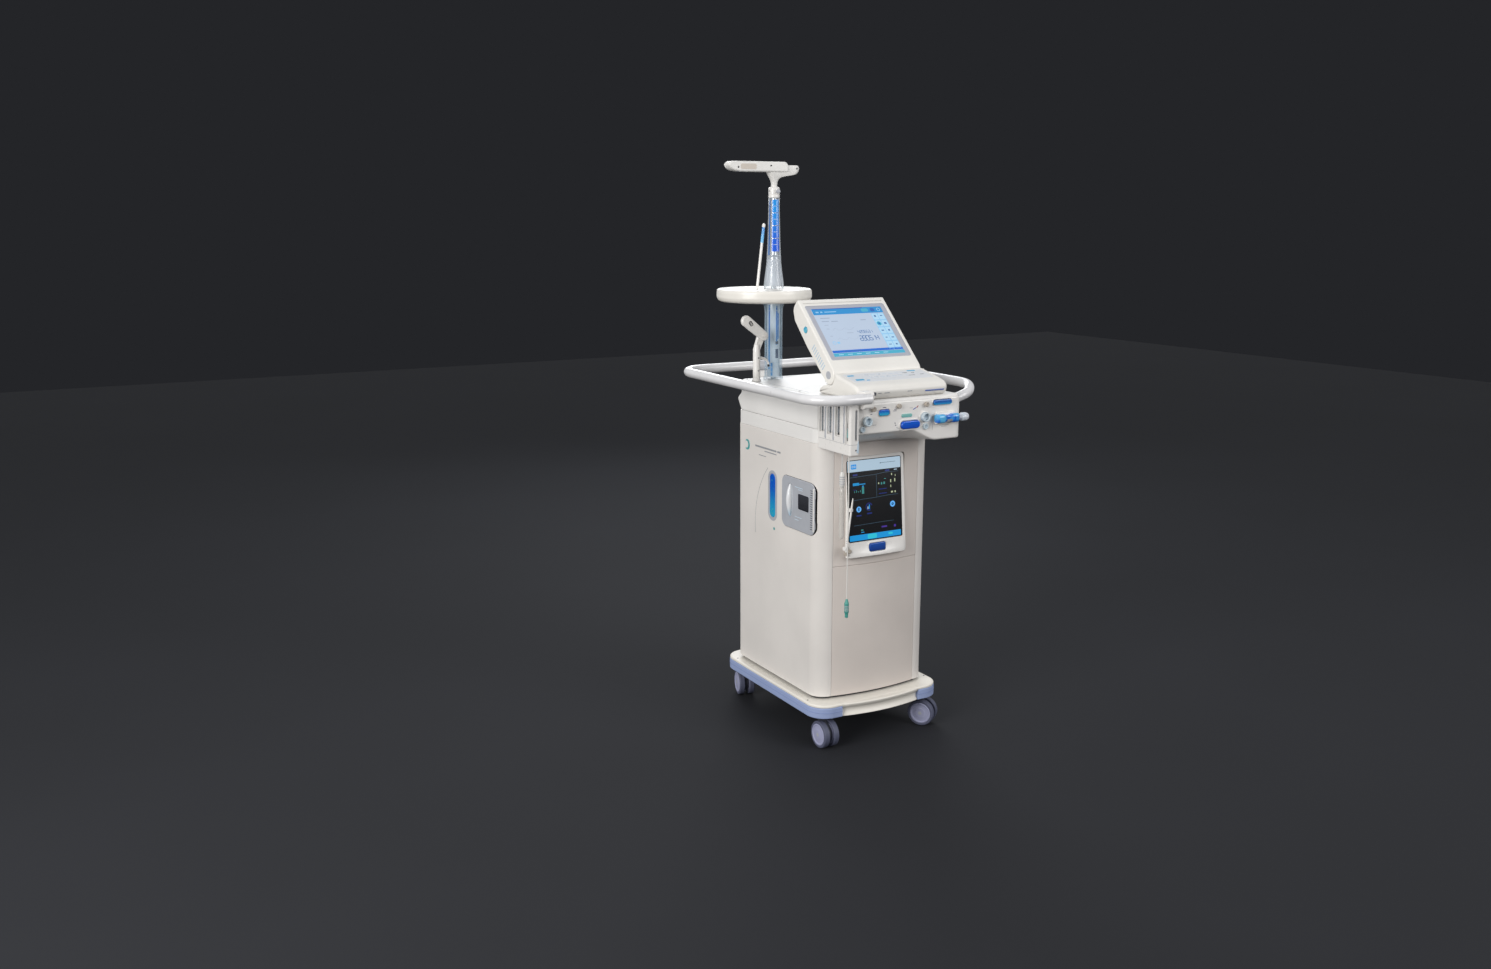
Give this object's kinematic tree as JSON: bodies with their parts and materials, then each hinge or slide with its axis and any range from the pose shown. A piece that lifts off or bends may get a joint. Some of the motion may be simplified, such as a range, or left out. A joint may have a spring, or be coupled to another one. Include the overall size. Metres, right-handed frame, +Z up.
{
  "type": "mechanical ventilator",
  "caption": "Hospital ventilator on a castor trolley: tall cabinet, push rail, tilting touch console, front screen, gas ports and a rear mast with a tray.",
  "frame": {"origin": "on the floor, under the middle of the rail loop", "axes": "+Z up, -Y towards the front with the console, +X to the right of someone facing the front"},
  "size_m": [0.583, 0.795, 1.567],
  "materials": {
    "white_shell": "satin moulded",
    "beige_panel": "satin moulded",
    "cream_base": "satin moulded",
    "bumper_blue": "soft matte",
    "caster_lavender": "satin",
    "caster_dark": "satin",
    "key_blue": "gloss",
    "screen_glass": "gloss",
    "clear_plastic": "clear gloss",
    "smoked_plastic": "smoked gloss",
    "rail_paint": "painted gloss",
    "frame_steel": "powder coat",
    "inner_metal": "cast",
    "inner_dark": "matte",
    "port_grey": "satin",
    "plug_green": "gloss",
    "lead_white": "soft"
  },
  "bodies": {
    "cabinet": {"base_frame": "frame_steel", "base_cover": "cream_base", "bumper_left": "bumper_blue", "bumper_right": "bumper_blue", "side_panel_left": "white_shell", "side_panel_right": "white_shell", "rear_panel": "white_shell", "front_panel_lower": "beige_panel", "front_panel_upper": "beige_panel", "battery_pack": "inner_dark", "blower": "inner_metal", "power_supply": "inner_metal", "power_inlet": "inner_dark", "status_window": "key_blue", "display_housing": "white_shell", "display_screen": "screen_glass", "head_skirt": "white_shell", "head_shell": "white_shell", "front_fascia": "white_shell", "gas_manifold": "inner_metal", "port_expiratory": "port_grey", "port_inspiratory": "port_grey", "connector_body": "key_blue", "side_module": "white_shell", "rail": "rail_paint", "rail_bracket": "white_shell", "mast_lower": "clear_plastic", "tray_disc": "white_shell", "mast_upper": "clear_plastic", "mast_core": "inner_metal", "mast_collar": "white_shell", "guide_rod": "white_shell", "post": "white_shell", "console_base": "white_shell", "drain_cord": "lead_white", "sample_tube": "clear_plastic", "sensor_lead": "lead_white", "lead_plug": "plug_green", "stylus": "lead_white"},
    "console": {"console_housing": "white_shell", "console_screen": "screen_glass"},
    "console_dial": {"console_dial": "key_blue"},
    "display_button": {"display_button": "key_blue"},
    "hatch": {"hatch_door": "smoked_plastic"},
    "hatch_handle": {"hatch_handle": "white_shell"},
    "t_bar": {"t_bar": "white_shell"},
    "post_lever": {"lever_head": "white_shell"},
    "key_cyan": {"key_cyan": "key_blue"},
    "lever_blue": {"lever_blue": "key_blue"},
    "latch_blue": {"latch_blue": "key_blue"},
    "knob_left": {"knob_left": "white_shell"},
    "knob_right": {"knob_right": "white_shell"},
    "caster_front_left": {"caster_yoke_front_left": "caster_dark"},
    "wheels_front_left": {"caster_wheels_front_left": "caster_lavender"},
    "caster_front_right": {"caster_yoke_front_right": "caster_dark"},
    "wheels_front_right": {"caster_wheels_front_right": "caster_lavender"},
    "caster_rear_left": {"caster_yoke_rear_left": "caster_dark"},
    "wheels_rear_left": {"caster_wheels_rear_left": "caster_lavender"},
    "caster_rear_right": {"caster_yoke_rear_right": "caster_dark"},
    "wheels_rear_right": {"caster_wheels_rear_right": "caster_lavender"}
  },
  "joints": [
    {"name": "swivel_front_left", "type": "hinge", "parent": "cabinet", "child": "caster_front_left", "pos_m": [-0.16, -0.224, 0.09], "axis": [0, 0, 1], "continuous": true},
    {"name": "roll_front_left", "type": "hinge", "parent": "caster_front_left", "child": "wheels_front_left", "pos_m": [-0.16, -0.246, 0.0375], "axis": [1, 0, 0], "continuous": true},
    {"name": "swivel_front_right", "type": "hinge", "parent": "cabinet", "child": "caster_front_right", "pos_m": [0.16, -0.224, 0.09], "axis": [0, 0, 1], "continuous": true},
    {"name": "roll_front_right", "type": "hinge", "parent": "caster_front_right", "child": "wheels_front_right", "pos_m": [0.17262, -0.24202, 0.0375], "axis": [0.8192, 0.5736, 0], "continuous": true},
    {"name": "swivel_rear_left", "type": "hinge", "parent": "cabinet", "child": "caster_rear_left", "pos_m": [-0.16, 0.192, 0.09], "axis": [0, 0, 1], "continuous": true},
    {"name": "roll_rear_left", "type": "hinge", "parent": "caster_rear_left", "child": "wheels_rear_left", "pos_m": [-0.15431, 0.21325, 0.0375], "axis": [-0.9659, 0.2588, 0], "continuous": true},
    {"name": "swivel_rear_right", "type": "hinge", "parent": "cabinet", "child": "caster_rear_right", "pos_m": [0.16, 0.192, 0.09], "axis": [0, 0, 1], "continuous": true},
    {"name": "roll_rear_right", "type": "hinge", "parent": "caster_rear_right", "child": "wheels_rear_right", "pos_m": [0.15248, 0.21267, 0.0375], "axis": [-0.9397, -0.342, 0], "continuous": true},
    {"name": "console_tilt", "type": "hinge", "parent": "cabinet", "child": "console", "pos_m": [0, -0.209, 1.0137], "axis": [1, 0, 0], "range_deg": [-12, 30]},
    {"name": "console_dial_press", "type": "slide", "parent": "console", "child": "console_dial", "axis": [1, 0, 0], "range_m": [0, 0.002], "stiffness_N_per_m": 300},
    {"name": "display_button_press", "type": "slide", "parent": "cabinet", "child": "display_button", "axis": [0, 1, 0], "range_m": [0, 0.002], "stiffness_N_per_m": 300},
    {"name": "key_cyan_press", "type": "slide", "parent": "cabinet", "child": "key_cyan", "axis": [0, 1, 0], "range_m": [0, 0.002], "stiffness_N_per_m": 300},
    {"name": "lever_blue_press", "type": "slide", "parent": "cabinet", "child": "lever_blue", "axis": [0, 1, 0], "range_m": [0, 0.0025], "stiffness_N_per_m": 300},
    {"name": "latch_blue_press", "type": "slide", "parent": "cabinet", "child": "latch_blue", "axis": [0, 1, 0], "range_m": [0, 0.0025], "stiffness_N_per_m": 300},
    {"name": "knob_left_turn", "type": "hinge", "parent": "cabinet", "child": "knob_left", "pos_m": [-0.101, -0.356, 0.941], "axis": [0, 1, 0], "range_deg": [-135, 135]},
    {"name": "knob_right_turn", "type": "hinge", "parent": "cabinet", "child": "knob_right", "pos_m": [0.066, -0.356, 0.9415], "axis": [0, 1, 0], "range_deg": [-135, 135]},
    {"name": "hatch_swing", "type": "hinge", "parent": "cabinet", "child": "hatch", "pos_m": [-0.1825, -0.212, 0.656], "axis": [0, 0, 1], "range_deg": [0, 100]},
    {"name": "hatch_handle_pull", "type": "hinge", "parent": "hatch", "child": "hatch_handle", "pos_m": [-0.1811, -0.0815, 0.6625], "axis": [0, 0, -1], "range_deg": [0, 20], "stiffness_Nm_per_rad": 0.05},
    {"name": "t_bar_turn", "type": "hinge", "parent": "cabinet", "child": "t_bar", "pos_m": [-0.09, 0.159, 1.539], "axis": [0, 0, 1], "range_deg": [-90, 90]},
    {"name": "post_lever_turn", "type": "hinge", "parent": "cabinet", "child": "post_lever", "pos_m": [-0.1465, 0.13, 1.09], "axis": [0, 1, 0], "range_deg": [-40, 50]}
  ]
}
